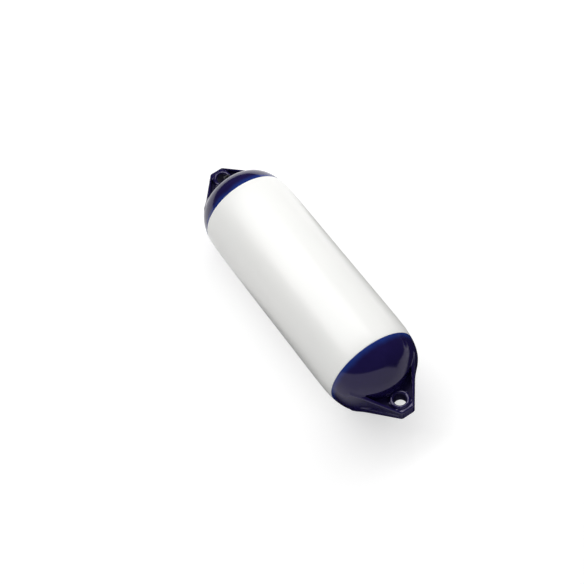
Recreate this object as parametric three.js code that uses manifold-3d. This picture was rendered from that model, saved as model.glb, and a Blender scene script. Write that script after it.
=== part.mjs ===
// Inflatable boat fender: a white vinyl tube closed by two navy domes, each moulded in one with a
// flat rope-eye lug. It lies on its side. X runs along the fender, Y across it and Z up, in mm,
// with the origin on the ground under the middle.

import * as THREE from 'three';
import { mergeVertices } from 'three/addons/utils/BufferGeometryUtils.js';
import Module from 'manifold-3d';

// Body and domes. The long profile is a straight tube that bends in along a super-ellipse and ends
// in a pointed nose, a parabola from the nose's radius inwards. The air room keeps to the ellipse.
const BODY_R = 110;
const SHOULDER_X = 172;
const DOME_LEN = 147.6;
const DOME_POWER = 3.46;
const NOSE_R = 81;
const SEAM_REACH = 79.2;
const BODY_WALL = 3.5;
const CAP_WALL = 5;

// Flat on which the body rests. Past each shoulder the underside lifts off by a small slope.
const FLAT_HALF_W = 15;
const FLAT_LIFT = 0.02;

// Collar of each cap, which laps inside the end of the tube.
const COLLAR_LEN = 15;
const COLLAR_WALL = 3;
const COLLAR_RAMP = 6;
const SEAT_GAP = 0.3;

// Lug: a flat wedge that flares from the blunt tip towards the dome, in width and in thickness.
const TIP_REACH = 62.9;
const TIP_HALF_W = 16;
const TIP_HALF_H = 13.5;
const TIP_ROUND = 2.5;
const LUG_LEN = 89.5;
const LUG_ROOT_HALF_W = 82;
const LUG_ROOT_HALF_H = 39;
const LUG_CHAMFER = 3;

// Legs and pockets: on each face a pocket leaves a leg along both sides and a web in the middle.
const LEG_ROOT_T = 10;
const LEG_TIP_T = 5;
const PAD_FRONT_LEN = 12;
const WEB_HALF_T = 4;
const CREST_Z = 38;

// Recess in each side of the lug, a long triangle between the upper and the lower leg.
const RECESS_FROM_ROOT = 13;
const RECESS_FROM_TIP = 6.5;
const RECESS_ROOT_H = 14;
const RECESS_TIP_H = 1.2;
const RECESS_ROOT_D = 4.5;
const RECESS_TIP_D = 0.8;

// Rope eye: a hole with a raised ring, a pad on its tip side and a cross rib on its dome side.
const EYE_FROM_TIP = 29.5;
const EYE_R = 14;
const RING_R = 21.5;
const RING_HALF_H = 18;
const RING_ROUND = 3;
const PAD_REACH = 9.5;
const RIB_REACH = 26.5;
const RIB_W = 7;
const RIB_HALF_LEN = 18;
const RIB_HALF_H = 16;

// Filling valve in the far dome. Its own axis is the nose's normal, with 0 at the nose's surface.
const VALVE_UP = 56;
const BOSS_R = 15;
const BOSS_DEPTH = 12;
const SPOT_DEPTH = 3;
const SEAT_FLANGE_R = 11;
const SEAT_FLANGE_T = 2.5;
const SEAT_R = 8.5;
const SEAT_LEN = 11;
const PLUG_R = 4;
const PLUG_LEN = 10;
const BORE_CLEARANCE = 0.3;
const HEAD_R = 7.5;
const HEAD_T = 3;
const SLOT_W = 1.6;
const SLOT_DEPTH = 1.4;
const SEAL_W = 2.2;
const SEAL_T = 1.6;

// Facets round the body, along its profile, and round small parts.
const BODY_SEGMENTS = 48;
const TUBE_STEPS = 3;
const COLLAR_STEPS = 3;
const DOME_STEPS = 8;
const NOSE_STEPS = 6;
const INNER_STEPS = 6;
const ARCH_STEPS = 8;
const RING_SEGMENTS = 32;
const VALVE_SEGMENTS = 24;
const ROUND_STEPS = 3;

const AXIS_Z = Math.sqrt(BODY_R ** 2 - FLAT_HALF_W ** 2);

// Places along the fender.
const SEAM_X = SHOULDER_X + SEAM_REACH;
const TIP_X = SHOULDER_X + DOME_LEN + TIP_REACH;
const LUG_ROOT_X = TIP_X - LUG_LEN;
const POCKET_TIP_X = TIP_X - PAD_FRONT_LEN;
const RECESS_ROOT_X = LUG_ROOT_X + RECESS_FROM_ROOT;
const RECESS_TIP_X = TIP_X - RECESS_FROM_TIP;
const EYE_X = TIP_X - EYE_FROM_TIP;
const PAD_START_X = EYE_X - PAD_REACH;
const RIB_X = EYE_X - RIB_REACH;

// How far a cutter runs past what it cuts, and how far joined shapes run into each other.
const BEYOND = 20;
const OVERLAP = 1;

const wasm = await Module();
wasm.setup();

const whiteVinyl = new THREE.MeshStandardMaterial({ color: 0xf4f3ee, roughness: 0.38, metalness: 0 });
const navyVinyl = new THREE.MeshStandardMaterial({ color: 0x16194f, roughness: 0.22, metalness: 0 });
const valvePlastic = new THREE.MeshStandardMaterial({ color: 0x15161a, roughness: 0.4, metalness: 0 });
const sealRubber = new THREE.MeshStandardMaterial({ color: 0x0c0c0d, roughness: 0.7, metalness: 0 });

// Closed solid from a closed geometry, without the triangles that shrink to a line on an axis.
function toSolid(geometry) {
  const bare = geometry.clone();
  bare.deleteAttribute('normal');
  bare.deleteAttribute('uv');
  const merged = mergeVertices(bare, 1e-4);
  const index = merged.index.array;
  const triangles = [];
  for (let i = 0; i < index.length; i += 3) {
    const [a, b, c] = [index[i], index[i + 1], index[i + 2]];
    if (a !== b && b !== c && c !== a) {
      triangles.push(a, b, c);
    }
  }
  return new wasm.Manifold(new wasm.Mesh({
    numProp: 3,
    vertProperties: new Float32Array(merged.attributes.position.array),
    triVerts: new Uint32Array(triangles),
  }));
}

function toMesh(name, solid, material) {
  const result = solid.getMesh();
  const geometry = new THREE.BufferGeometry();
  const positions = new Float32Array(result.vertProperties);
  geometry.setAttribute('position', new THREE.BufferAttribute(positions, 3));
  geometry.setIndex(new THREE.BufferAttribute(new Uint32Array(result.triVerts), 1));
  geometry.computeVertexNormals();
  const mesh = new THREE.Mesh(geometry, material);
  mesh.name = name;
  return mesh;
}

// Solid of revolution about X. Each point is (radius, place along the axis).
function revolveX(points) {
  return toSolid(new THREE.LatheGeometry(points, BODY_SEGMENTS).rotateZ(-Math.PI / 2));
}

// Solid of revolution about Z.
function revolveZ(points, segments) {
  return toSolid(new THREE.LatheGeometry(points, segments).rotateX(Math.PI / 2));
}

// Upright prism over an outline in X and Y, between two heights.
function prism(outline, bottom, top) {
  const shape = new THREE.Shape(outline.map(([x, y]) => new THREE.Vector2(x, y)));
  const solid = new THREE.ExtrudeGeometry(shape, { depth: top - bottom, bevelEnabled: false });
  return toSolid(solid.translate(0, 0, bottom));
}

// Solid through rings of points with as many points each, the ends closed by flat fans.
function loft(rings) {
  const count = rings[0].length;
  const positions = rings.flat(2);
  const index = [];
  for (let ring = 0; ring < rings.length - 1; ring += 1) {
    for (let i = 0; i < count; i += 1) {
      const a = ring * count + i;
      const b = ring * count + ((i + 1) % count);
      index.push(a, b, b + count, a, b + count, a + count);
    }
  }
  const last = (rings.length - 1) * count;
  for (let i = 1; i < count - 1; i += 1) {
    index.push(0, i + 1, i);
    index.push(last, last + i, last + i + 1);
  }
  const geometry = new THREE.BufferGeometry();
  geometry.setAttribute('position', new THREE.Float32BufferAttribute(positions, 3));
  geometry.setIndex(index);
  return toSolid(geometry);
}

function mix(from, to, part) {
  return from + (to - from) * part;
}

// Angle on the super-ellipse at a place along the fender.
function angleAt(x) {
  return Math.asin(((x - SHOULDER_X) / DOME_LEN) ** (DOME_POWER / 2));
}

// Outward normal of the super-ellipse, (across, along), from the shares of its two half-axes.
function profileNormal(across, along) {
  const power = DOME_POWER - 1;
  return new THREE.Vector2(across ** power / BODY_R, along ** power / DOME_LEN).normalize();
}

// Point of the long profile, sunk into the wall by a depth along the surface's normal.
function profilePoint(angle, depth) {
  const along = Math.sin(angle) ** (2 / DOME_POWER);
  const across = Math.max(Math.cos(angle), 0) ** (2 / DOME_POWER);
  const normal = profileNormal(across, along);
  const radius = Math.max(BODY_R * across - depth * normal.x, 0);
  return new THREE.Vector2(radius, SHOULDER_X + DOME_LEN * along - depth * normal.y);
}

// Place along the fender where the super-ellipse has a given radius.
function shoulderX(radius) {
  const share = (radius / BODY_R) ** DOME_POWER;
  return SHOULDER_X + DOME_LEN * (1 - share) ** (1 / DOME_POWER);
}

// The nose leaves the super-ellipse along its tangent. Its slope grows by 1 over NOSE_CURVE.
const noseNormal = profileNormal(NOSE_R / BODY_R, (shoulderX(NOSE_R) - SHOULDER_X) / DOME_LEN);
const NOSE_CURVE = NOSE_R * noseNormal.y / noseNormal.x;
const NOSE_X = shoulderX(NOSE_R) + NOSE_R ** 2 / (2 * NOSE_CURVE);

// Place along the fender where the dome or its nose has a given radius.
function domeX(radius) {
  return radius < NOSE_R ? NOSE_X - radius ** 2 / (2 * NOSE_CURVE) : shoulderX(radius);
}

function sweep(from, to, steps, depth) {
  return Array.from({ length: steps + 1 }, (_, i) => profilePoint(mix(from, to, i / steps), depth));
}

function nosePoints() {
  return Array.from({ length: NOSE_STEPS + 1 }, (_, i) => {
    const radius = mix(NOSE_R, 0, i / NOSE_STEPS);
    return new THREE.Vector2(radius, domeX(radius));
  });
}

const seamAngle = angleAt(SEAM_X);
const capStartAngle = angleAt(SEAM_X + SEAT_GAP);
const noseAngle = angleAt(shoulderX(NOSE_R));
const collarAngle = angleAt(SEAM_X - COLLAR_LEN);
const rampStartAngle = angleAt(SEAM_X + COLLAR_RAMP);
const rampEndAngle = angleAt(SEAM_X + 2 * COLLAR_RAMP);
const flipped = (points) => points.map((p) => new THREE.Vector2(p.x, -p.y));
const backwards = (points) => points.slice().reverse();

// What lies under the flat and under the lifted shoulders.
function ground() {
  const bottom = -BODY_R - BEYOND;
  const section = (x) => {
    const top = FLAT_LIFT * Math.max(Math.abs(x) - SHOULDER_X, 0) - AXIS_Z;
    return [[x, BODY_R, bottom], [x, BODY_R, top], [x, -BODY_R, top], [x, -BODY_R, bottom]];
  };
  return loft([-TIP_X, -SHOULDER_X, SHOULDER_X, TIP_X].map(section));
}

// White tube, open at both ends, with a narrow flat where it rests.
function bodyShell() {
  const half = (depth) => [
    ...sweep(0, collarAngle, TUBE_STEPS, depth),
    ...sweep(collarAngle, seamAngle, COLLAR_STEPS, depth).slice(1),
  ];
  const outer = half(0);
  const inner = half(BODY_WALL);
  const outside = [...flipped(backwards(outer)), ...outer];
  const inside = [...backwards(inner), ...flipped(inner)];
  const tube = revolveX([...outside, ...inside, outside[0].clone()]);
  return tube.subtract(ground());
}

// Dome with its collar, still solid and without the lug.
function domeBlank() {
  const lap = BODY_WALL + SEAT_GAP;
  const collar = sweep(collarAngle, seamAngle, COLLAR_STEPS, lap);
  const shoulder = profilePoint(capStartAngle, lap);
  const dome = sweep(capStartAngle, noseAngle, DOME_STEPS, 0);
  const nose = nosePoints().slice(1);
  return revolveX([new THREE.Vector2(0, collar[0].y), ...collar, shoulder, ...dome, ...nose]);
}

// The room inside a dome and its collar.
function capInside() {
  const collarDepth = BODY_WALL + SEAT_GAP + COLLAR_WALL;
  const collar = sweep(collarAngle, rampStartAngle, COLLAR_STEPS, collarDepth);
  const dome = sweep(rampEndAngle, Math.PI / 2, INNER_STEPS, CAP_WALL);
  const mouthX = collar[0].y - BEYOND;
  const mouth = [new THREE.Vector2(0, mouthX), new THREE.Vector2(collar[0].x, mouthX)];
  return revolveX([...mouth, ...collar, ...dome]);
}

function lugHalfWidth(x) {
  return mix(TIP_HALF_W, LUG_ROOT_HALF_W, (TIP_X - x) / LUG_LEN);
}

function lugHalfHeight(x) {
  return mix(TIP_HALF_H, LUG_ROOT_HALF_H, (TIP_X - x) / LUG_LEN);
}

// Half width between the legs: the lug's width less the leg on each side.
function legInner(x) {
  const part = Math.min((x - LUG_ROOT_X) / (POCKET_TIP_X - LUG_ROOT_X), 1);
  return lugHalfWidth(x) - mix(LEG_ROOT_T, LEG_TIP_T, part);
}

function lugSection(x, inset) {
  const w = lugHalfWidth(x) - inset;
  const h = lugHalfHeight(x) - inset;
  const c = LUG_CHAMFER;
  return [
    [x, w, -h + c], [x, w, h - c], [x, w - c, h], [x, -w + c, h],
    [x, -w, h - c], [x, -w, -h + c], [x, -w + c, -h], [x, w - c, -h],
  ];
}

// Cutter for one side's recess. side is 1 or -1.
function sideRecess(side) {
  const section = (x, half, depth) => {
    const floor = side * (lugHalfWidth(x) - depth);
    const outside = side * (lugHalfWidth(x) + BEYOND);
    const ring = [[x, floor, half], [x, floor, -half], [x, outside, -half], [x, outside, half]];
    return side > 0 ? ring : ring.reverse();
  };
  return loft([
    section(RECESS_ROOT_X, RECESS_ROOT_H, RECESS_ROOT_D),
    section(RECESS_TIP_X, RECESS_TIP_H, RECESS_TIP_D),
  ]);
}

function lugBlank() {
  const wedge = loft([
    lugSection(LUG_ROOT_X, 0),
    lugSection(TIP_X - TIP_ROUND, 0),
    lugSection(TIP_X, TIP_ROUND),
  ]);
  return wedge.subtract(sideRecess(1)).subtract(sideRecess(-1));
}

// Outline between the legs from one place along the lug to another, and straight on to an end.
function betweenLegs(fromX, toX, endX) {
  return [
    [fromX, -legInner(fromX)],
    [toX, -legInner(toX)],
    [endX, -legInner(toX)],
    [endX, legInner(toX)],
    [toX, legInner(toX)],
    [fromX, legInner(fromX)],
  ];
}

// Deep pocket above the web. Its end wall stands where the dome has come down to the crest's height,
// so seen from the tip its upper edge is level and seen from above it is an arch.
function pocket() {
  const top = LUG_ROOT_HALF_H + BEYOND;
  const halfWidth = legInner(LUG_ROOT_X);
  const wall = [];
  for (let i = -ARCH_STEPS; i <= ARCH_STEPS; i += 1) {
    const y = (i / ARCH_STEPS) * halfWidth;
    wall.push([domeX(Math.hypot(y, CREST_Z)), y]);
  }
  const beyondDome = [...wall, [TIP_X, halfWidth], [TIP_X, -halfWidth]].reverse();
  const inLug = betweenLegs(LUG_ROOT_X, POCKET_TIP_X, POCKET_TIP_X + OVERLAP);
  return prism(beyondDome, WEB_HALF_T, top).intersect(prism(inLug, WEB_HALF_T, top));
}

// Shallow cut that levels the pad with the tip.
function padCut() {
  return prism(betweenLegs(POCKET_TIP_X, TIP_X, TIP_X + BEYOND), TIP_HALF_H, LUG_ROOT_HALF_H);
}

const upsideDown = (solid) => solid.rotate([180, 0, 0]);

// Rounded edge between a side at a radius and a top at a height, as (radius, height) points that
// start on the top. outward is 1 where the solid lies inside the radius and -1 where it lies outside.
function quarterRound(radius, height, round, outward) {
  return Array.from({ length: ROUND_STEPS + 1 }, (_, i) => {
    const angle = (i / ROUND_STEPS) * Math.PI / 2;
    const reach = round * (1 - Math.sin(angle));
    return new THREE.Vector2(radius - outward * reach, height - round * (1 - Math.cos(angle)));
  });
}

// Ring, pad and cross rib round the eye, without the hole.
function eyeHub() {
  const rim = quarterRound(RING_R, RING_HALF_H, RING_ROUND, 1);
  const ring = revolveZ([
    new THREE.Vector2(0, -RING_HALF_H),
    ...flipped(rim),
    ...backwards(rim),
    new THREE.Vector2(0, RING_HALF_H),
  ], RING_SEGMENTS).translate([EYE_X, 0, 0]);
  const padHalfWidth = legInner(POCKET_TIP_X);
  const pad = prism([
    [PAD_START_X, -padHalfWidth],
    [POCKET_TIP_X + OVERLAP, -padHalfWidth],
    [POCKET_TIP_X + OVERLAP, padHalfWidth],
    [PAD_START_X, padHalfWidth],
  ], -TIP_HALF_H, TIP_HALF_H);
  const rib = prism([
    [RIB_X, -RIB_HALF_LEN],
    [RIB_X + RIB_W, -RIB_HALF_LEN],
    [RIB_X + RIB_W, RIB_HALF_LEN],
    [RIB_X, RIB_HALF_LEN],
  ], -RIB_HALF_H, RIB_HALF_H);
  return ring.add(pad).add(rib);
}

function eyeHole() {
  const mouth = quarterRound(EYE_R, RING_HALF_H, RING_ROUND, -1);
  const wide = EYE_R + RING_ROUND;
  return revolveZ([
    new THREE.Vector2(0, -RING_HALF_H - BEYOND),
    new THREE.Vector2(wide, -RING_HALF_H - BEYOND),
    ...flipped(mouth),
    ...backwards(mouth),
    new THREE.Vector2(wide, RING_HALF_H + BEYOND),
    new THREE.Vector2(0, RING_HALF_H + BEYOND),
  ], RING_SEGMENTS).translate([EYE_X, 0, 0]);
}

// End cap as it lies at the near end, with its dome towards +X.
function endCap() {
  let cap = domeBlank().add(lugBlank());
  for (const cut of [pocket(), padCut()]) {
    cap = cap.subtract(cut).subtract(upsideDown(cut));
  }
  return cap.add(eyeHub()).subtract(eyeHole()).subtract(capInside());
}

// Turns a solid about Z to the valve's axis, with its zero height at the dome's surface.
function placeOnValve(solid) {
  const tilt = THREE.MathUtils.radToDeg(Math.atan2(NOSE_CURVE, VALVE_UP));
  return solid.rotate([0, tilt, 0]).translate([domeX(VALVE_UP), 0, VALVE_UP]);
}

// Solid of revolution about the valve's axis, from (radius, height) points.
function aboutValve(points) {
  const profile = points.map(([radius, height]) => new THREE.Vector2(radius, height));
  return placeOnValve(revolveZ(profile, VALVE_SEGMENTS));
}

const flangeBottom = -SPOT_DEPTH + SEAT_GAP;
const flangeTop = flangeBottom + SEAT_FLANGE_T;
const sealBottom = flangeTop + SEAT_GAP;
const headBottom = sealBottom + SEAL_T + SEAT_GAP;
const plugBoreR = PLUG_R + BORE_CLEARANCE;

function valveBoss() {
  return aboutValve([[0, -BOSS_DEPTH], [BOSS_R, -BOSS_DEPTH], [BOSS_R, -SPOT_DEPTH], [0, -SPOT_DEPTH]]);
}

function valveHole() {
  const wide = SEAT_FLANGE_R + BORE_CLEARANCE;
  const narrow = SEAT_R + BORE_CLEARANCE;
  return aboutValve([
    [0, -BOSS_DEPTH - BEYOND],
    [narrow, -BOSS_DEPTH - BEYOND],
    [narrow, -SPOT_DEPTH],
    [wide, -SPOT_DEPTH],
    [wide, BEYOND],
    [0, BEYOND],
  ]);
}

function valveSeat() {
  return aboutValve([
    [plugBoreR, flangeBottom - SEAT_LEN],
    [SEAT_R, flangeBottom - SEAT_LEN],
    [SEAT_R, flangeBottom],
    [SEAT_FLANGE_R, flangeBottom],
    [SEAT_FLANGE_R, flangeTop],
    [plugBoreR, flangeTop],
    [plugBoreR, flangeBottom - SEAT_LEN],
  ]);
}

function sealRing() {
  const inner = plugBoreR;
  const outer = plugBoreR + SEAL_W;
  const c = SEAL_T / 4;
  return aboutValve([
    [inner, sealBottom + c],
    [inner + c, sealBottom],
    [outer - c, sealBottom],
    [outer, sealBottom + c],
    [outer, sealBottom + SEAL_T - c],
    [outer - c, sealBottom + SEAL_T],
    [inner + c, sealBottom + SEAL_T],
    [inner, sealBottom + SEAL_T - c],
    [inner, sealBottom + c],
  ]);
}

// Slotted screw plug. Its thread is left plain.
function valvePlug() {
  const top = headBottom + HEAD_T;
  const c = HEAD_T / 4;
  const blank = aboutValve([
    [0, headBottom - PLUG_LEN],
    [PLUG_R - c, headBottom - PLUG_LEN],
    [PLUG_R, headBottom - PLUG_LEN + c],
    [PLUG_R, headBottom],
    [HEAD_R, headBottom],
    [HEAD_R, top - c],
    [HEAD_R - c, top],
    [0, top],
  ]);
  const reach = HEAD_R + BEYOND;
  const slot = prism([
    [-SLOT_W / 2, -reach],
    [SLOT_W / 2, -reach],
    [SLOT_W / 2, reach],
    [-SLOT_W / 2, reach],
  ], top - SLOT_DEPTH, top + BEYOND);
  return blank.subtract(placeOnValve(slot));
}

const cap = endCap();
const halfTurn = (solid) => solid.rotate([0, 0, 180]);

const fender = new THREE.Group();
fender.position.z = AXIS_Z;
fender.add(
  toMesh('body_shell', bodyShell(), whiteVinyl),
  toMesh('near_end_cap', cap, navyVinyl),
  toMesh('far_end_cap', halfTurn(cap.add(valveBoss()).subtract(valveHole())), navyVinyl),
  toMesh('valve_seat', halfTurn(valveSeat()), valvePlastic),
  toMesh('valve_seal_ring', halfTurn(sealRing()), sealRubber),
  toMesh('valve_plug', halfTurn(valvePlug()), valvePlastic),
);

export default fender;
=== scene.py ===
import math

import bmesh
import bpy
import numpy as np
from mathutils import Matrix, Vector


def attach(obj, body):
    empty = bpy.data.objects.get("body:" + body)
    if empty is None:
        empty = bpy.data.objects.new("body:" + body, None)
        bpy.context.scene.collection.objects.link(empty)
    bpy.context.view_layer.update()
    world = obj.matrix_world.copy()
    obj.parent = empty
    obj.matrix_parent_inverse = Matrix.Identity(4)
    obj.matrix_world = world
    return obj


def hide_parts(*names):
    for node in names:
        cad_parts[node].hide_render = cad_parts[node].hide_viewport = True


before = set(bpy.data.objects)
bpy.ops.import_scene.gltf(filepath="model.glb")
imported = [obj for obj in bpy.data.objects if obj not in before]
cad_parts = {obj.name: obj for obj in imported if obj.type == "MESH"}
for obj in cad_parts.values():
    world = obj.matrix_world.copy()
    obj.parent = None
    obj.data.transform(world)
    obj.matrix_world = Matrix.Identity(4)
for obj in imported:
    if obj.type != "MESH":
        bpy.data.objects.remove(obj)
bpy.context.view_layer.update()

# The fender lies along X on its narrow flat. Shapes are worked out in millimetres about the long
# axis, as in the part's source, and put into metres when a mesh is made.
BODY_R = 110.0
SHOULDER_X = 172.0
DOME_LEN = 147.6
DOME_POWER = 3.46
NOSE_R = 81.0
SEAM_X = SHOULDER_X + 79.2
BODY_WALL = 3.5
CAP_WALL = 5.0
FLAT_HALF_W = 15.0
FLAT_LIFT = 0.02
AXIS_Z = math.sqrt(BODY_R**2 - FLAT_HALF_W**2)

COLLAR_LEN = 15.0
COLLAR_WALL = 3.0
COLLAR_RAMP = 6.0
SEAT_GAP = 0.3
LIP_ROUND = 0.35

TIP_X = SHOULDER_X + DOME_LEN + 62.9
TIP_HALF_W = 16.0
TIP_HALF_H = 13.5
TIP_ROUND = 3.0
LUG_LEN = 89.5
LUG_ROOT_X = TIP_X - LUG_LEN
LUG_ROOT_HALF_W = 82.0
LUG_ROOT_HALF_H = 39.0
SIDE_SLOPE = (LUG_ROOT_HALF_W - TIP_HALF_W) / LUG_LEN
FACE_SLOPE = (LUG_ROOT_HALF_H - TIP_HALF_H) / LUG_LEN
LUG_ROUND = 3.2

LEG_ROOT_T = 10.0
LEG_TIP_T = 5.0
POCKET_TIP_X = TIP_X - 12.0
POCKET_FILLET = 2.4
POCKET_EDGE = 1.0
WEB_HALF_T = 4.0
CREST_Z = 38.0

RECESS_ROOT_X = LUG_ROOT_X + 13.0
RECESS_TIP_X = TIP_X - 6.5
RECESS_ROOT_H = 14.0
RECESS_TIP_H = 1.2
RECESS_ROOT_D = 4.5
RECESS_TIP_D = 0.8

EYE_X = TIP_X - 29.5
EYE_R = 14.0
RING_R = 21.5
RING_HALF_H = 18.0
RING_ROUND = 3.7
PAD_START_X = EYE_X - 9.5
PAD_ROUND = 1.2
PAD_FLARE = 0.15
RIB_X = EYE_X - 26.5
RIB_W = 7.0
RIB_HALF_LEN = 18.0
RIB_HALF_H = 16.0
DOME_BLEND = 6.0
HUB_BLEND = 2.2

VALVE_UP = 56.0
BOSS_R = 15.0
BOSS_DEPTH = 12.0
SPOT_DEPTH = 3.0
SEAT_FLANGE_R = 11.0
SEAT_FLANGE_T = 2.5
SEAT_R = 8.5
SEAT_LEN = 11.0
PLUG_R = 4.0
PLUG_LEN = 10.0
BORE_CLEARANCE = 0.3
HEAD_R = 7.5
HEAD_T = 3.0
SLOT_W = 1.6
SLOT_DEPTH = 1.4
SEAL_W = 2.2
SEAL_T = 1.6
THREAD_PITCH = 1.5
THREAD_DEPTH = 0.5
KNURL_COUNT = 36
KNURL_DEPTH = 0.16

BODY_SEGMENTS = 288
VALVE_SEGMENTS = 96
PLUG_SEGMENTS = 216
SEAL_STEPS = 28
SEAL_SQUARENESS = 0.7

BEYOND = 20.0
MM = 0.001
WELD_REACH = 0.005 * MM
SQUARE = ((-1, -1), (1, -1), (1, 1), (-1, 1))


# Long profile of the body and the domes

def angle_at(x):
    return math.asin(((x - SHOULDER_X) / DOME_LEN) ** (DOME_POWER / 2))


def profile_point(angle, depth=0.0):
    """(place along the fender, radius) on the long profile, sunk into the wall by a depth."""
    along = math.sin(angle) ** (2 / DOME_POWER)
    across = max(math.cos(angle), 0.0) ** (2 / DOME_POWER)
    normal = Vector((along ** (DOME_POWER - 1) / DOME_LEN, across ** (DOME_POWER - 1) / BODY_R))
    normal.normalize()
    x = SHOULDER_X + DOME_LEN * along - depth * normal.x
    return x, max(BODY_R * across - depth * normal.y, 0.0)


def sweep(start, end, steps, depth=0.0):
    return [profile_point(start + (end - start) * i / steps, depth) for i in range(steps + 1)]


def shoulder_x(radius):
    share = (radius / BODY_R) ** DOME_POWER
    return SHOULDER_X + DOME_LEN * np.maximum(1 - share, 0) ** (1 / DOME_POWER)


def nose_curve():
    """Radius over slope where the nose's parabola leaves the super-ellipse along its tangent."""
    power = DOME_POWER - 1
    along = (float(shoulder_x(NOSE_R)) - SHOULDER_X) / DOME_LEN
    return NOSE_R * (along**power / DOME_LEN) / ((NOSE_R / BODY_R) ** power / BODY_R)


NOSE_CURVE = nose_curve()
NOSE_X = float(shoulder_x(NOSE_R)) + NOSE_R**2 / (2 * NOSE_CURVE)


def dome_x(radius):
    return np.where(radius < NOSE_R, NOSE_X - radius**2 / (2 * NOSE_CURVE), shoulder_x(radius))


# Moulded end cap, as a distance in millimetres that is negative inside

def smooth_max(a, b, reach):
    near = np.maximum(reach - np.abs(a - b), 0) / reach
    return np.maximum(a, b) + near * near * reach / 4


def smooth_min(a, b, reach):
    return -smooth_max(-a, -b, reach)


def lug_half_width(x):
    return TIP_HALF_W + SIDE_SLOPE * (TIP_X - x)


def lug_half_height(x):
    return TIP_HALF_H + FACE_SLOPE * (TIP_X - x)


def leg_inner(x):
    part = np.clip((x - LUG_ROOT_X) / (POCKET_TIP_X - LUG_ROOT_X), None, 1)
    return lug_half_width(x) - (LEG_ROOT_T + (LEG_TIP_T - LEG_ROOT_T) * part)


def block(x, y, z, x0, x1, half_w, half_h, rounding):
    along = np.maximum(x0 - x, x - x1)
    across = smooth_max(y - half_w, z - half_h, rounding)
    return smooth_max(along, across, rounding)


def dome_distance(x, radius):
    along = np.maximum(x - SHOULDER_X, 0) / DOME_LEN
    across = radius / BODY_R
    level = along**DOME_POWER + across**DOME_POWER - 1
    slope = DOME_POWER * np.hypot(along ** (DOME_POWER - 1) / DOME_LEN, across ** (DOME_POWER - 1) / BODY_R)
    shoulder = level / np.maximum(slope, 0.5 * DOME_POWER / DOME_LEN)
    nose = (x - dome_x(radius)) / np.hypot(1, radius / NOSE_CURVE)
    return np.where(radius < NOSE_R, nose, shoulder)


def lug_distance(x, y, z):
    side = (y - lug_half_width(x)) / math.hypot(1, SIDE_SLOPE)
    face = (z - lug_half_height(x)) / math.hypot(1, FACE_SLOPE)
    wedge = smooth_max(smooth_max(side, face, LUG_ROUND), x - TIP_X, TIP_ROUND)
    wedge = np.maximum(wedge, LUG_ROOT_X - x)
    part = (x - RECESS_ROOT_X) / (RECESS_TIP_X - RECESS_ROOT_X)
    depth = RECESS_ROOT_D + (RECESS_TIP_D - RECESS_ROOT_D) * part
    height = RECESS_ROOT_H + (RECESS_TIP_H - RECESS_ROOT_H) * part
    recess = smooth_max(-(side + depth), z - height, 1.0)
    recess = np.maximum(recess, np.maximum(RECESS_ROOT_X - x, x - RECESS_TIP_X))
    return smooth_max(wedge, -recess, 1.5)


def pocket_distance(x, y, z):
    wall = dome_x(np.hypot(y, CREST_Z)) - x
    side = (y - leg_inner(x)) / math.hypot(1, SIDE_SLOPE)
    outline = smooth_max(smooth_max(wall, side, POCKET_FILLET), x - POCKET_TIP_X, POCKET_FILLET)
    return smooth_max(outline, WEB_HALF_T - z, POCKET_FILLET)


def cap_distance(x, y, z):
    """The near end cap from the seam outwards, about the fender's axis, the same on both sides and faces."""
    y = np.abs(y)
    z = np.abs(z)
    cap = smooth_min(dome_distance(x, np.hypot(y, z)), lug_distance(x, y, z), DOME_BLEND)
    cap = smooth_max(cap, -pocket_distance(x, y, z), POCKET_EDGE)
    level = np.maximum(np.maximum(TIP_HALF_H - z, POCKET_TIP_X - x), y - leg_inner(x))
    cap = smooth_max(cap, -level, POCKET_EDGE)
    from_eye = np.hypot(x - EYE_X, y)
    ring = smooth_max(from_eye - RING_R, z - RING_HALF_H, RING_ROUND)
    pad_half_w = float(leg_inner(POCKET_TIP_X)) + PAD_FLARE * (POCKET_TIP_X - x)
    pad = block(x, y, z, PAD_START_X, POCKET_TIP_X + 1, pad_half_w, TIP_HALF_H, PAD_ROUND)
    rib = block(x, y, z, RIB_X, RIB_X + RIB_W, RIB_HALF_LEN, RIB_HALF_H, 3.0)
    hub = smooth_min(rib, smooth_min(ring, pad, 1.0), HUB_BLEND)
    cap = smooth_min(cap, hub, HUB_BLEND)
    return smooth_max(cap, EYE_R - from_eye, RING_ROUND)


def graded(stops):
    """Grid places from (start, spacing) stops to the last start."""
    places = []
    for (start, spacing), (end, _) in zip(stops, stops[1:]):
        count = max(1, round((end - start) / spacing))
        places.extend(start + (end - start) * i / count for i in range(count))
    places.append(stops[-1][0])
    return np.array(places)


def mirrored(stops):
    half = graded(stops)
    return np.concatenate([-half[:0:-1], half])


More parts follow.
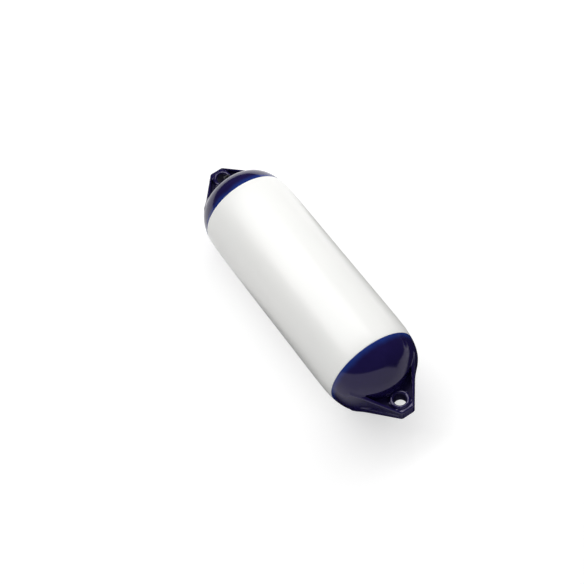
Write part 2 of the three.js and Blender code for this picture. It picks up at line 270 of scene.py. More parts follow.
def surface_net(xs, ys, zs, distance):
    """Quads on the zero surface of a distance, one vertex in each cell that it passes through."""
    gx, gy, gz = np.meshgrid(xs, ys, zs, indexing="ij")
    value = distance(gx, gy, gz)
    inside = value < 0
    shape = np.array(value.shape)
    cells = shape - 1
    axes = (xs, ys, zs)
    total = int(np.prod(cells))
    weight = np.zeros(total)
    place = np.zeros((3, total))
    edges = []
    for axis in range(3):
        low = [slice(None)] * 3
        high = [slice(None)] * 3
        low[axis] = slice(0, -1)
        high[axis] = slice(1, None)
        crossing = np.argwhere(inside[tuple(low)] != inside[tuple(high)])
        ahead = crossing.copy()
        ahead[:, axis] += 1
        a = value[tuple(crossing.T)]
        b = value[tuple(ahead.T)]
        share = a / (a - b)
        point = [axes[k][crossing[:, k]] for k in range(3)]
        point[axis] = point[axis] + share * (axes[axis][ahead[:, axis]] - axes[axis][crossing[:, axis]])
        u, v = (axis + 1) % 3, (axis + 2) % 3
        around = []
        for du, dv in ((0, 0), (-1, 0), (-1, -1), (0, -1)):
            cell = crossing.copy()
            cell[:, u] += du
            cell[:, v] += dv
            held = np.all((cell >= 0) & (cell < cells), axis=1)
            index = np.where(held, np.ravel_multi_index(np.clip(cell, 0, cells - 1).T, cells), -1)
            kept = index[held]
            weight += np.bincount(kept, minlength=total)
            for k in range(3):
                place[k] += np.bincount(kept, weights=point[k][held], minlength=total)
            around.append(index)
        edges.append((np.stack(around, axis=1), a < 0))
    used = np.flatnonzero(weight)
    number = np.full(total, -1)
    number[used] = np.arange(len(used))
    points = (place[:, used] / weight[used]).T
    quads = []
    for around, rising in edges:
        whole = np.all(around >= 0, axis=1)
        quad = number[around[whole]]
        rising = rising[whole]
        quads.append(np.where(rising[:, None], quad, quad[:, ::-1]))
    return points, np.concatenate(quads)


def settle(points, distance, step, limit):
    """Moves points onto the zero surface along its slope."""
    for _ in range(step):
        x, y, z = points.T
        value = distance(x, y, z)
        e = 0.02
        slope = np.stack([
            distance(x + e, y, z) - distance(x - e, y, z),
            distance(x, y + e, z) - distance(x, y - e, z),
            distance(x, y, z + e) - distance(x, y, z - e),
        ], axis=1) / (2 * e)
        size = np.maximum((slope**2).sum(1), 0.2)
        move = -(value / size)[:, None] * slope
        length = np.linalg.norm(move, axis=1)
        move *= np.minimum(1, limit / np.maximum(length, 1e-9))[:, None]
        points = points + move
    return points


def relax(points, quads, share, held):
    """Moves each point part of the way to the middle of its neighbours, apart from held ones."""
    starts = quads.ravel()
    ends = np.roll(quads, -1, axis=1).ravel()
    a = np.concatenate([starts, ends])
    b = np.concatenate([ends, starts])
    count = np.maximum(np.bincount(a, minlength=len(points)), 1)
    middle = np.stack([np.bincount(a, weights=points[b, k], minlength=len(points)) for k in range(3)], axis=1)
    moved = points + share * (middle / count[:, None] - points)
    moved[held] = points[held]
    return moved


def open_loop(quads, count):
    """The open edge of a mesh as one ring of vertices, in the order of its faces."""
    starts = quads.ravel()
    ends = np.roll(quads, -1, axis=1).ravel()
    pairs = set((starts * count + ends).tolist())
    lone = [(k // count, k % count) for k in pairs if (k % count) * count + k // count not in pairs]
    following = dict(lone)
    loop = [lone[0][0]]
    while len(loop) < len(lone):
        loop.append(following[loop[-1]])
    return loop


def cap_mesh():
    """The near end cap as a closed shell: moulded outside, collar and hollow inside."""
    start_x = SEAM_X + SEAT_GAP
    xs = graded([(start_x + 0.8, 2.3), (296.0, 1.35), (325.0, 0.92), (TIP_X + 2.0, 0.92)])
    ys = mirrored([(0.0, 0.92), (27.0, 1.35), (72.0, 2.3), (BODY_R + 4.0, 2.3)])
    zs = mirrored([(0.0, 0.92), (20.0, 1.35), (42.0, 2.3), (BODY_R + 4.0, 2.3)])
    points, quads = surface_net(xs, ys, zs, cap_distance)
    points = settle(points, cap_distance, 3, 0.4)
    loop = open_loop(quads, len(points))
    for _ in range(3):
        points = relax(points, quads, 0.4, loop)
        points = settle(points, cap_distance, 2, 0.4)
    lap = BODY_WALL + SEAT_GAP
    collar_angle = angle_at(SEAM_X - COLLAR_LEN)
    edge_x, edge_r = profile_point(angle_at(start_x))
    rings = [
        profile_point(angle_at(start_x + LIP_ROUND)),
        (edge_x + LIP_ROUND * 0.3, edge_r - LIP_ROUND * 0.3),
        (edge_x, edge_r - LIP_ROUND),
        profile_point(angle_at(start_x), lap),
        *reversed(sweep(collar_angle, angle_at(SEAM_X), 3, lap)),
        *sweep(collar_angle, angle_at(SEAM_X + COLLAR_RAMP), 3, lap + COLLAR_WALL),
        *sweep(angle_at(SEAM_X + 2 * COLLAR_RAMP), math.pi / 2, 9, CAP_WALL)[:-1],
    ]
    angles = np.arctan2(points[loop, 2], points[loop, 1])
    size = len(loop)
    ring_points = [
        np.stack([np.full(size, x), r * np.cos(angles), r * np.sin(angles)], axis=1) for x, r in rings
    ]
    apex_x = profile_point(math.pi / 2, CAP_WALL)[0]
    points_all = np.concatenate([points, *ring_points, np.array([[apex_x, 0.0, 0.0]])])
    faces = quads.tolist()
    current = loop
    for k in range(len(rings)):
        ring = [len(points) + k * size + i for i in range(size)]
        for i in range(size):
            j = (i + 1) % size
            faces.append([current[j], current[i], ring[i], ring[j]])
        current = ring
    apex = len(points_all) - 1
    for i in range(size):
        faces.append([current[(i + 1) % size], current[i], apex])
    return points_all, faces


# Mesh helpers

def make_object(name, points, faces, material, smooth_angle=40.0):
    mesh = bpy.data.meshes.new(name)
    mesh.from_pydata((np.asarray(points) * MM).tolist(), [], [list(f) for f in faces])
    mesh.validate()
    mesh.materials.append(material)
    mesh.shade_smooth()
    mesh.set_sharp_from_angle(angle=math.radians(smooth_angle))
    obj = bpy.data.objects.new(name, mesh)
    bpy.context.scene.collection.objects.link(obj)
    return obj


def weld(obj, reach):
    """Joins the points that a cut leaves almost on top of each other."""
    mesh = bmesh.new()
    mesh.from_mesh(obj.data)
    bmesh.ops.remove_doubles(mesh, verts=mesh.verts, dist=reach)
    bmesh.ops.dissolve_degenerate(mesh, dist=reach, edges=mesh.edges)
    mesh.to_mesh(obj.data)
    mesh.free()


def boolean(obj, operation, tool):
    """Cuts a tool from an object, or joins it on, and removes the tool."""
    modifier = obj.modifiers.new("solid", "BOOLEAN")
    modifier.operation = operation
    modifier.object = tool
    modifier.solver = "MANIFOLD"
    depsgraph = bpy.context.evaluated_depsgraph_get()
    result = bpy.data.meshes.new_from_object(obj.evaluated_get(depsgraph))
    obj.modifiers.clear()
    old = obj.data
    name = old.name
    obj.data = result
    bpy.data.meshes.remove(old)
    obj.data.name = name
    bpy.data.objects.remove(tool)
    weld(obj, WELD_REACH)


def smooth(obj, degrees):
    obj.data.shade_smooth()
    obj.data.set_sharp_from_angle(angle=math.radians(degrees))


def revolve(profile, segments, radius_of=None):
    """Closed solid about Z from (radius, height) points that run up the outside. radius_of may vary a
    point's radius round the axis."""
    points, faces, rows = [], [], []
    for index, (radius, height) in enumerate(profile):
        if radius < 1e-6:
            points.append((0.0, 0.0, height))
            rows.append([len(points) - 1] * segments)
            continue
        row = []
        for i in range(segments):
            turn = 2 * math.pi * i / segments
            r = radius_of(index, radius, height, turn) if radius_of else radius
            points.append((r * math.cos(turn), r * math.sin(turn), height))
            row.append(len(points) - 1)
        rows.append(row)
    for low, high in zip(rows, rows[1:]):
        for i in range(segments):
            j = (i + 1) % segments
            face = [low[i], low[j], high[j], high[i]]
            face = [v for k, v in enumerate(face) if v != face[k - 1]]
            if len(face) > 2:
                faces.append(face)
    return points, faces


def turned(points, matrix):
    return [tuple(matrix @ Vector(p)) for p in points]


# Materials

class Nodes:
    """Short names for building a node material."""

    def __init__(self, name):
        self.material = bpy.data.materials.new(name)
        self.material.use_nodes = True
        self.tree = self.material.node_tree
        self.tree.nodes.clear()
        self.shader = self.tree.nodes.new("ShaderNodeBsdfPrincipled")
        output = self.tree.nodes.new("ShaderNodeOutputMaterial")
        self.tree.links.new(self.shader.outputs[0], output.inputs[0])
        self.place = self.tree.nodes.new("ShaderNodeTexCoord").outputs["Object"]

    def link(self, source, target):
        self.tree.links.new(source, target)

    def scaled(self, scale):
        node = self.tree.nodes.new("ShaderNodeMapping")
        node.inputs["Scale"].default_value = scale
        self.link(self.place, node.inputs["Vector"])
        return node.outputs[0]

    def noise(self, scale, detail=3.0, roughness=0.5, place=None):
        node = self.tree.nodes.new("ShaderNodeTexNoise")
        node.inputs["Scale"].default_value = scale
        node.inputs["Detail"].default_value = detail
        node.inputs["Roughness"].default_value = roughness
        self.link(place or self.place, node.inputs["Vector"])
        return node.outputs["Fac"]

    def span(self, value, low, high, to_low, to_high, kind="LINEAR"):
        node = self.tree.nodes.new("ShaderNodeMapRange")
        node.interpolation_type = kind
        for name, number in (("From Min", low), ("From Max", high), ("To Min", to_low), ("To Max", to_high)):
            node.inputs[name].default_value = number
        self.link(value, node.inputs["Value"])
        return node.outputs[0]

    def math(self, operation, a, b=None):
        node = self.tree.nodes.new("ShaderNodeMath")
        node.operation = operation
        for slot, value in zip(node.inputs, (a, b)):
            if value is None:
                continue
            if isinstance(value, (int, float)):
                slot.default_value = value
            else:
                self.link(value, slot)
        return node.outputs[0]

    def blend(self, share, first, second):
        node = self.tree.nodes.new("ShaderNodeMix")
        node.data_type = "RGBA"
        self.link(share, node.inputs["Factor"])
        for slot, value in ((node.inputs[6], first), (node.inputs[7], second)):
            if isinstance(value, tuple):
                slot.default_value = (*value, 1.0)
            else:
                self.link(value, slot)
        return node.outputs[2]

    def bump(self, height, depth, below=None):
        """A relief of a real depth in metres, on top of another one."""
        node = self.tree.nodes.new("ShaderNodeBump")
        node.inputs["Strength"].default_value = 1.0
        node.inputs["Distance"].default_value = depth
        self.link(height, node.inputs["Height"])
        if below is not None:
            self.link(below, node.inputs["Normal"])
        return node.outputs[0]


def white_vinyl():
    m = Nodes("white_vinyl")
    tone = m.span(m.noise(5.0, 1.0), 0.3, 0.7, 0.0, 1.0, "SMOOTHSTEP")
    base = m.blend(tone, (0.905, 0.905, 0.885), (0.885, 0.888, 0.870))
    scuffs = m.span(m.noise(30.0, 5.0, 0.6, m.scaled((0.25, 1.0, 1.0))), 0.58, 0.74, 0.0, 1.0)
    scratches = m.span(m.noise(1100.0, 2.0, 0.5, m.scaled((0.02, 1.0, 1.0))), 0.66, 0.78, 0.0, 1.0)
    wear = m.math("MULTIPLY", scuffs, scratches)
    base = m.blend(m.math("MULTIPLY", wear, 0.22), base, (0.70, 0.70, 0.68))
    m.link(base, m.shader.inputs["Base Color"])
    satin = m.span(m.noise(4.0, 1.0), 0.3, 0.7, 0.29, 0.33, "SMOOTHSTEP")
    m.link(m.math("ADD", satin, m.math("MULTIPLY", wear, 0.12)), m.shader.inputs["Roughness"])
    m.shader.inputs["IOR"].default_value = 1.5
    slack = m.bump(m.noise(4.0, 0.0), 0.0004)
    peel = m.bump(m.noise(450.0, 1.0), 0.0000025, slack)
    m.link(peel, m.shader.inputs["Normal"])
    return m.material


def lug_hollows(m, along, across, height):
    """1 in the lug's pockets and in the rope eye, where the moulding is dull, and 0 elsewhere."""
    side = m.math("ADD", across, m.math("MULTIPLY", along, SIDE_SLOPE))
    limit = (TIP_HALF_W - LEG_TIP_T + SIDE_SLOPE * TIP_X) * MM
    between = m.span(side, limit - 0.0005, limit + 0.0005, 1.0, 0.0)
    pocket = m.math("MULTIPLY", between, m.span(height, 0.0085, 0.0105, 1.0, 0.0))
    from_eye = m.math("SUBTRACT", along, EYE_X * MM)
    squares = m.math("ADD", m.math("MULTIPLY", from_eye, from_eye), m.math("MULTIPLY", across, across))
    eye = m.span(m.math("SQRT", squares), (EYE_R + 0.3) * MM, (EYE_R + 1.3) * MM, 1.0, 0.0)
    return m.math("MAXIMUM", pocket, eye)


def navy_vinyl():
    m = Nodes("navy_vinyl")
    split = m.tree.nodes.new("ShaderNodeSeparateXYZ")
    m.link(m.place, split.inputs[0])
    along = m.math("ABSOLUTE", split.outputs["X"])
    across = m.math("ABSOLUTE", split.outputs["Y"])
    height = m.math("ABSOLUTE", m.math("SUBTRACT", split.outputs["Z"], AXIS_Z * MM))
    dull = lug_hollows(m, along, across, height)
    wander = m.span(m.noise(26.0, 2.0), 0.3, 0.7, -0.003, 0.003)
    reach = m.math("ADD", along, wander)
    seam = m.span(reach, (SEAM_X - 2) * MM, (SEAM_X + 17) * MM, 1.0, 0.0, "SMOOTHSTEP")
    mottle = m.span(m.noise(38.0, 3.0), 0.3, 0.7, 0.0, 1.0)
    deep = m.blend(mottle, (0.0090, 0.0060, 0.048), (0.0112, 0.0074, 0.057))
    base = m.blend(seam, deep, (0.012, 0.032, 0.19))
    rub = m.span(m.noise(420.0, 5.0, 0.7, m.scaled((1.0, 0.3, 1.0))), 0.66, 0.82, 0.0, 1.0)
    base = m.blend(m.math("MULTIPLY", rub, 0.25), base, (0.03, 0.03, 0.07))
    m.link(base, m.shader.inputs["Base Color"])
    gloss = m.span(m.noise(70.0, 4.0, 0.6), 0.3, 0.7, 0.07, 0.13)
    rough = m.math("ADD", gloss, m.math("MULTIPLY", rub, 0.12))
    m.link(m.math("MAXIMUM", rough, m.math("MULTIPLY", dull, 0.75)), m.shader.inputs["Roughness"])
    m.shader.inputs["IOR"].default_value = 1.45
    m.shader.inputs["Specular Tint"].default_value = (0.88, 0.82, 1.0, 1.0)
    swell = m.bump(m.noise(16.0, 1.0), 0.0004)
    peel = m.bump(m.noise(300.0, 2.0), 0.000004, swell)
    m.link(peel, m.shader.inputs["Normal"])
    return m.material


def valve_plastic():
    m = Nodes("valve_plastic")
    tone = m.span(m.noise(400.0, 4.0), 0.3, 0.7, 0.0, 1.0)
    m.link(m.blend(tone, (0.016, 0.017, 0.02), (0.026, 0.026, 0.03)), m.shader.inputs["Base Color"])
    m.link(m.span(m.noise(900.0, 3.0), 0.3, 0.7, 0.3, 0.42), m.shader.inputs["Roughness"])
    m.shader.inputs["IOR"].default_value = 1.49
    m.link(m.bump(m.noise(2500.0, 2.0), 0.00002), m.shader.inputs["Normal"])
    return m.material


def seal_rubber():
    m = Nodes("seal_rubber")
    tone = m.span(m.noise(700.0, 3.0), 0.3, 0.7, 0.0, 1.0)
    m.link(m.blend(tone, (0.010, 0.010, 0.010), (0.020, 0.019, 0.018)), m.shader.inputs["Base Color"])
    m.link(m.span(m.noise(1200.0, 3.0), 0.3, 0.7, 0.55, 0.75), m.shader.inputs["Roughness"])
    m.shader.inputs["IOR"].default_value = 1.5
    m.link(m.bump(m.noise(3000.0, 2.0), 0.00003), m.shader.inputs["Normal"])
    return m.material


WHITE = white_vinyl()
NAVY = navy_vinyl()
PLASTIC = valve_plastic()
RUBBER = seal_rubber()


# Body: an inflated tube, very slightly uneven, with the flat on which it rests

def body_points():
    start = angle_at(SEAM_X - LIP_ROUND)
    tube = [(x, BODY_R) for x in np.linspace(0, SHOULDER_X, 40)[:-1]]
    half = tube + sweep(0.0, start, 26)
    end_x, end_r = profile_point(angle_at(SEAM_X))
    half += [(end_x - LIP_ROUND * 0.3, end_r - LIP_ROUND * 0.3), (end_x, end_r - LIP_ROUND)]
    inner = [(0.0, BODY_R - BODY_WALL), (SHOULDER_X / 2, BODY_R - BODY_WALL)]
    inner += sweep(0.0, angle_at(SEAM_X), 12, BODY_WALL)
    outside = [(-x, r) for x, r in reversed(half[1:])] + half
    inside = list(reversed(inner)) + [(-x, r) for x, r in inner[1:]]
    return outside, inside


def body_mesh():
    segments = BODY_SEGMENTS
    outside, inside = body_points()
    turns = np.linspace(0, 2 * math.pi, segments, endpoint=False)
    rows = []
    for number, (x, r) in enumerate(outside + inside):
        outer = number < len(outside)
        radius = np.full(segments, float(r))
        if outer:
            fade = np.clip((SEAM_X - 4 - abs(x)) / 40, 0, 1)
            fade = fade * fade * (3 - 2 * fade)
            wave = 0.16 * np.sin(2 * turns + 0.9 + x / 140) + 0.12 * np.sin(3 * turns - x / 95)
            wave += 0.10 * np.sin(5 * turns + x / 60 + 2.1) + 0.08 * np.sin(x / 38 + 1.3)
            radius = radius - fade * (0.25 + 0.5 * wave)
        y = radius * np.cos(turns)
        z = radius * np.sin(turns)
        if outer:
            floor_z = AXIS_Z - FLAT_LIFT * max(abs(x) - SHOULDER_X, 0)
            z = -smooth_min(-z, np.full(segments, floor_z), 0.6)
        else:
            z = np.maximum(z, -AXIS_Z + BODY_WALL * 0.8)
        rows.append(np.stack([np.full(segments, float(x)), y, z], axis=1))
    points = np.concatenate(rows)
    faces = []
    count = len(rows)
    for k in range(count):
        a = k * segments
        b = ((k + 1) % count) * segments
        for i in range(segments):
            j = (i + 1) % segments
            faces.append((a + i, b + i, b + j, a + j))
    return points, faces


def lifted(points):
    return np.asarray(points) + np.array([0.0, 0.0, AXIS_Z])


tube_points, tube_faces = body_mesh()
body = make_object("body_vinyl", lifted(tube_points), tube_faces, WHITE, 60.0)
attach(body, "fender")
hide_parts("body_shell")

cap_points, cap_faces = cap_mesh()
near_cap = make_object("near_cap_moulding", lifted(cap_points), cap_faces, NAVY, 50.0)
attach(near_cap, "fender")
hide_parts("near_end_cap")

far_cap = make_object(
    "far_cap_moulding", lifted(cap_points * np.array([-1.0, -1.0, 1.0])), cap_faces, NAVY, 50.0
)


# Valve in the far dome. Its own axis is the nose's normal, with 0 at the nose's surface.

def valve_matrix():
    tilt = math.atan2(NOSE_CURVE, VALVE_UP)
    place = Matrix.Translation((float(dome_x(VALVE_UP)), 0.0, VALVE_UP)) @ Matrix.Rotation(tilt, 4, "Y")
    return Matrix.Translation((0.0, 0.0, AXIS_Z)) @ Matrix.Rotation(math.pi, 4, "Z") @ place


VALVE = valve_matrix()


def valve_solid(name, profile, segments, material, degrees=35.0, radius_of=None, close=False):
    points, faces = revolve(profile + [profile[0]] if close else profile, segments, radius_of)
    if close:
        count = len(points) - segments
        faces = [[v % count if v >= count else v for v in face] for face in faces]
        points = points[:count]
    return make_object(name, turned(points, VALVE), faces, material, degrees)


FLANGE_BOTTOM = -SPOT_DEPTH + SEAT_GAP
FLANGE_TOP = FLANGE_BOTTOM + SEAT_FLANGE_T
SEAL_BOTTOM = FLANGE_TOP + SEAT_GAP
HEAD_BOTTOM = SEAL_BOTTOM + SEAL_T + SEAT_GAP
HEAD_TOP = HEAD_BOTTOM + HEAD_T
PLUG_BORE_R = PLUG_R + BORE_CLEARANCE

boss = valve_solid(
    "boss_tool", [(0, -BOSS_DEPTH), (BOSS_R, -BOSS_DEPTH), (BOSS_R, -SPOT_DEPTH), (0, -SPOT_DEPTH)],
    VALVE_SEGMENTS, NAVY,
)
boolean(far_cap, "UNION", boss)
narrow = SEAT_R + BORE_CLEARANCE
wide = SEAT_FLANGE_R + BORE_CLEARANCE
hole = valve_solid("hole_tool", [
    (0, -BOSS_DEPTH - BEYOND), (narrow, -BOSS_DEPTH - BEYOND), (narrow, -SPOT_DEPTH), (wide, -SPOT_DEPTH),
    (wide, -0.6), (wide + 0.15, -0.25), (wide + 0.6, 0.15), (wide + 1.6, 0.5),
    (wide + 1.6, BEYOND), (0, BEYOND),
], VALVE_SEGMENTS, NAVY)
boolean(far_cap, "DIFFERENCE", hole)
smooth(far_cap, 50.0)
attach(far_cap, "fender")
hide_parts("far_end_cap")


def helix(radius, height, turn, depth):
    """Depth of a thread's groove at a height and a turn round it."""
    phase = (height / THREAD_PITCH - turn / (2 * math.pi)) % 1.0
    ridge = 1 - abs(2 * phase - 1)
    return depth * min(max((ridge - 0.15) / 0.7, 0.0), 1.0)


def seat_profile():
    bottom = FLANGE_BOTTOM - SEAT_LEN
    bore = [(PLUG_BORE_R, h) for h in np.linspace(FLANGE_TOP - 0.6, bottom + 0.6, 74)]
    return [
        (PLUG_BORE_R + 0.5, bottom), (SEAT_R - 0.6, bottom), (SEAT_R, bottom + 0.6), (SEAT_R, FLANGE_BOTTOM),
        (SEAT_FLANGE_R - 0.4, FLANGE_BOTTOM), (SEAT_FLANGE_R, FLANGE_BOTTOM + 0.4),
        (SEAT_FLANGE_R, FLANGE_TOP - 0.7), (SEAT_FLANGE_R - 0.2, FLANGE_TOP - 0.25),
        (SEAT_FLANGE_R - 0.7, FLANGE_TOP),
        (SEAT_FLANGE_R - 2.2, FLANGE_TOP), (SEAT_FLANGE_R - 2.5, FLANGE_TOP - 0.35),
        (SEAT_FLANGE_R - 3.1, FLANGE_TOP - 0.35), (SEAT_FLANGE_R - 3.4, FLANGE_TOP),
        (PLUG_BORE_R + 0.6, FLANGE_TOP), *bore,
    ]


def seat_radius(index, radius, height, turn):
    if abs(radius - PLUG_BORE_R) < 1e-9 and index > 12:
        return radius + helix(radius, height, turn, THREAD_DEPTH)
    return radius


seat = valve_solid(
    "valve_seat_insert", seat_profile(), VALVE_SEGMENTS, PLASTIC, 35.0, seat_radius, close=True
)
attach(seat, "fender")
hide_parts("valve_seat")


def seal_profile():
    middle = PLUG_BORE_R + SEAL_W / 2
    centre = SEAL_BOTTOM + SEAL_T / 2
    out = []
    for i in range(SEAL_STEPS):
        angle = 2 * math.pi * i / SEAL_STEPS - math.pi / 2
        c, s = math.cos(angle), math.sin(angle)
        across = SEAL_W / 2 * math.copysign(abs(c) ** SEAL_SQUARENESS, c)
        along = SEAL_T / 2 * math.copysign(abs(s) ** SEAL_SQUARENESS, s)
        out.append((middle + across, centre + along))
    return out


seal = valve_solid("valve_seal", seal_profile(), VALVE_SEGMENTS, RUBBER, 80.0, close=True)
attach(seal, "plug")
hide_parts("valve_seal_ring")


def plug_profile():
    bottom = HEAD_BOTTOM - PLUG_LEN
    shank = [(PLUG_R, h) for h in np.linspace(bottom + 0.9, HEAD_BOTTOM - 0.9, 70)]
    return [
        (0, bottom), (PLUG_R - 1.0, bottom), (PLUG_R - 0.7, bottom + 0.15), *shank,
        (PLUG_R - 0.5, HEAD_BOTTOM - 0.7), (PLUG_R - 0.5, HEAD_BOTTOM),
        (HEAD_R - 0.4, HEAD_BOTTOM), (HEAD_R - 0.1, HEAD_BOTTOM + 0.12), (HEAD_R, HEAD_BOTTOM + 0.4),
        (HEAD_R, HEAD_TOP - 1.0), (HEAD_R - 0.12, HEAD_TOP - 0.55), (HEAD_R - 0.45, HEAD_TOP - 0.18),
        (HEAD_R - 0.95, HEAD_TOP), (HEAD_R - 2.2, HEAD_TOP), (0, HEAD_TOP),
    ]


def plug_radius(index, radius, height, turn):
    if abs(radius - PLUG_R) < 1e-9:
        return radius - helix(radius, height, turn, THREAD_DEPTH)
    if radius > HEAD_R - 0.2 and height < HEAD_TOP - 0.8:
        return radius - KNURL_DEPTH * max(math.cos(KNURL_COUNT * turn), 0.0)
    return radius


plug = valve_solid(
    "valve_plug_screw", plug_profile(), PLUG_SEGMENTS, PLASTIC, 35.0, plug_radius
)
reach = HEAD_R + 1
slot_half = SLOT_W / 2
slot_points = [
    (sx * slot_half, sy * reach, h)
    for h in (HEAD_TOP - SLOT_DEPTH, HEAD_TOP + 1)
    for sx, sy in SQUARE
]
slot_faces = [(3, 2, 1, 0), (4, 5, 6, 7), (0, 1, 5, 4), (1, 2, 6, 5), (2, 3, 7, 6), (3, 0, 4, 7)]
slot_tool = make_object("slot_tool", turned(slot_points, VALVE), slot_faces, PLASTIC)
boolean(plug, "DIFFERENCE", slot_tool)
smooth(plug, 35.0)
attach(plug, "plug")
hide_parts("valve_plug")


# Floor, light and camera

STUDIO_UP = Vector((-0.58, 0.47, 0.67)).normalized()
HORIZON = -0.25
WORLD_LEVEL = 0.92
CANOPY_LEVEL = 0.04
CANOPY_R = 5.0
CANOPY_RINGS = 40
CANOPY_TURNS = 96
CANOPY_MARGIN = 0.03
CANOPY_LOW = -0.25
FLOOR_HALF = 2.6
FLOOR_TONE = 0.55
FLOOR_LIFT = 0.56

# Each card's middle x and y, half sizes along x and y, and height, in metres.
# The foot card is painted shade: a dark sheet under and beside the fender that only its gloss shows. It
# stands in for the floor's shade round the fender's foot and for a dark fender lying beside it.
FOOT_SHADE_CARD = (0.12, 0.22, 0.48, 0.54, 0.001)
SIDE_CARD = (0.12, 1.80, 0.46, 1.50, 0.0015)

# Where each lamp stands from the fender's middle, its distance, width, depth, radiance and long axis.
OVERHEAD_BANK = ((-0.42, -0.08, 0.90), 3.2, 4.4, 1.35, 5.0, (0, 1, 0))
SIDE_BANK = ((-0.35, 0.80, 0.48), 2.6, 2.4, 1.6, 2.8, (0, 0, 1))
NEAR_BANK = ((0.66, -0.05, 0.75), 2.6, 2.6, 1.3, 1.0, (0, 1, 0))


def floor_material():
    m = Nodes("studio_floor")
    tree = m.tree
    m.shader.inputs["Roughness"].default_value = 0.9
    m.shader.inputs["Specular IOR Level"].default_value = 0.1
    tone = m.span(m.noise(0.7, 2.0), 0.3, 0.7, 0.0, 1.0)
    colour = (FLOOR_TONE, FLOOR_TONE, FLOOR_TONE)
    m.link(m.blend(tone, colour, tuple(c * 0.995 for c in colour)), m.shader.inputs["Base Color"])
    path = tree.nodes.new("ShaderNodeLightPath")
    seen = m.math("MAXIMUM", path.outputs["Is Camera Ray"], path.outputs["Is Glossy Ray"])
    seen = m.math("MAXIMUM", seen, path.outputs["Is Transmission Ray"])
    m.shader.inputs["Emission Color"].default_value = (1, 1, 1, 1)
    m.link(m.math("MULTIPLY", seen, FLOOR_LIFT), m.shader.inputs["Emission Strength"])
    return m.material


floor_mesh = bpy.data.meshes.new("studio_floor")
floor_corners = [(FLOOR_HALF * x, FLOOR_HALF * y, 0) for x, y in SQUARE]
floor_mesh.from_pydata(floor_corners, [], [(0, 1, 2, 3)])
floor_mesh.materials.append(floor_material())
floor = bpy.data.objects.new("studio_floor", floor_mesh)
bpy.context.scene.collection.objects.link(floor)


def softbox(name, toward, distance, width, depth, radiance, long_axis):
    """Area light that faces the fender's middle. Its width runs along long_axis."""
    light = bpy.data.lights.new(name, "AREA")
    light.shape = "RECTANGLE"
    light.size = width
    light.size_y = depth
    light.energy = radiance * math.pi * width * depth
    obj = bpy.data.objects.new(name, light)
    back = Vector(toward).normalized()
    x_axis = (Vector(long_axis) - Vector(long_axis).dot(back) * back).normalized()
    y_axis = back.cross(x_axis)
    obj.matrix_world = Matrix((
        (x_axis.x, y_axis.x, back.x, back.x * distance),
        (x_axis.y, y_axis.y, back.y, back.y * distance),
        (x_axis.z, y_axis.z, back.z, back.z * distance + AXIS_Z * MM),
        (0, 0, 0, 1),
    ))
    obj.visible_camera = False
    bpy.context.scene.collection.objects.link(obj)
    return obj


softbox("overhead_bank", *OVERHEAD_BANK)
softbox("side_bank", *SIDE_BANK).visible_glossy = False
softbox("near_bank", *NEAR_BANK).visible_glossy = False


def studio_world():
    """Even pale surroundings on all sides, which the canopy hides from the fender above."""
    world = bpy.data.worlds.new("studio")
    bpy.context.scene.world = world
    world.use_nodes = True
    background = world.node_tree.nodes["Background"]
    background.inputs["Color"].default_value = (1, 1, 1, 1)
    background.inputs["Strength"].default_value = WORLD_LEVEL


studio_world()


def canopy_material():
    """Dark inside, and as pale as the surroundings towards its edge."""
    m = Nodes("dark_canopy")
    tree = m.tree
    up = tree.nodes.new("ShaderNodeVectorMath")
    up.operation = "DOT_PRODUCT"
    m.link(m.place, up.inputs[0])
    up.inputs[1].default_value = STUDIO_UP / CANOPY_R
    low, high = HORIZON - 0.02, HORIZON + 0.04
    level = m.span(up.outputs["Value"], low, high, WORLD_LEVEL, CANOPY_LEVEL, "SMOOTHSTEP")
    m.shader.inputs["Base Color"].default_value = (0, 0, 0, 1)
    m.shader.inputs["Roughness"].default_value = 1.0
    m.shader.inputs["Specular IOR Level"].default_value = 0.0
    m.shader.inputs["Emission Color"].default_value = (1, 1, 1, 1)
    m.link(level, m.shader.inputs["Emission Strength"])
    return m.material


def canopy():
    """Part of a wide sphere that is dark above the fender, in its gloss and its soft light. It casts no
    shadow from the lamps, and the camera looks through it."""
    rings, turns = CANOPY_RINGS, CANOPY_TURNS
    side = STUDIO_UP.cross(Vector((0, 0, 1))).normalized()
    ahead = side.cross(STUDIO_UP)
    points, faces = [], []
    for i in range(rings + 1):
        tip = math.acos(HORIZON - CANOPY_MARGIN) * i / rings
        for k in range(turns):
            turn = 2 * math.pi * k / turns
            flat = side * math.cos(turn) + ahead * math.sin(turn)
            point = STUDIO_UP * math.cos(tip) + flat * math.sin(tip)
            points.append(tuple(point * CANOPY_R))
    for i in range(rings):
        for k in range(turns):
            a, b = i * turns + k, i * turns + (k + 1) % turns
            corners = (a, b, b + turns, a + turns)
            if min(points[c][2] for c in corners) > CANOPY_LOW:
                faces.append(corners)
    mesh = bpy.data.meshes.new("dark_canopy")
    mesh.from_pydata(points, [], faces)
    mesh.materials.append(canopy_material())
    obj = bpy.data.objects.new("dark_canopy", mesh)
    bpy.context.scene.collection.objects.link(obj)
    obj.visible_camera = False
    obj.visible_shadow = False


canopy()


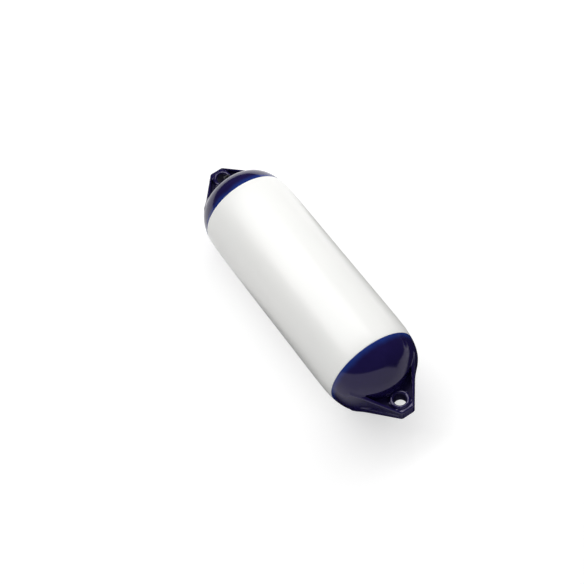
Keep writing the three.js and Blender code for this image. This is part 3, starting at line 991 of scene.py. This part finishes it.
def card_material():
    """Black that thins out to nothing at the card's edge."""
    m = Nodes("dark_card")
    tree = m.tree
    from_middle = tree.nodes.new("ShaderNodeVectorMath")
    from_middle.operation = "LENGTH"
    m.link(m.place, from_middle.inputs[0])
    m.shader.inputs["Base Color"].default_value = (0.01, 0.01, 0.01, 1)
    m.shader.inputs["Roughness"].default_value = 1.0
    m.shader.inputs["Specular IOR Level"].default_value = 0.0
    m.link(m.span(from_middle.outputs["Value"], 0.72, 1.0, 1.0, 0.0, "SMOOTHSTEP"), m.shader.inputs["Alpha"])
    return m.material


CARD = card_material()


def floor_card(name, middle_x, middle_y, half_x, half_y, height):
    """Dark oval card that lies on the floor and shows in the fender's gloss alone."""
    mesh = bpy.data.meshes.new(name)
    mesh.from_pydata([(x, y, 0) for x, y in SQUARE], [], [(0, 1, 2, 3)])
    mesh.materials.append(CARD)
    obj = bpy.data.objects.new(name, mesh)
    obj.location = (middle_x, middle_y, height)
    obj.scale = (half_x, half_y, 1.0)
    bpy.context.scene.collection.objects.link(obj)
    obj.visible_camera = False
    obj.visible_diffuse = False
    obj.visible_transmission = False
    obj.visible_shadow = False


# Painted shade in the gloss: the foot card darkens the floor that the fender reflects round its foot, where
# its own shade falls.
floor_card("foot_shade_card", *FOOT_SHADE_CARD)
floor_card("side_card", *SIDE_CARD)

CAMERA_AT = (1.3765, -0.6507, 2.5442 + AXIS_Z * MM)
CAMERA_RIGHT = Vector((0.5491, 0.83, -0.0978))
CAMERA_BACK = Vector((0.4675, -0.208, 0.8592))
CAMERA_LENS = 82.27

camera_data = bpy.data.cameras.new("camera")
camera_data.lens = CAMERA_LENS
camera_data.sensor_width = 36.0
camera_data.sensor_fit = "HORIZONTAL"
camera = bpy.data.objects.new("camera", camera_data)
back = CAMERA_BACK.normalized()
right = (CAMERA_RIGHT - CAMERA_RIGHT.dot(back) * back).normalized()
up = back.cross(right)
camera.matrix_world = Matrix((
    (right.x, up.x, back.x, CAMERA_AT[0]),
    (right.y, up.y, back.y, CAMERA_AT[1]),
    (right.z, up.z, back.z, CAMERA_AT[2]),
    (0, 0, 0, 1),
))
bpy.context.scene.collection.objects.link(camera)
bpy.context.scene.camera = camera
bpy.context.scene.view_settings.view_transform = "Standard"
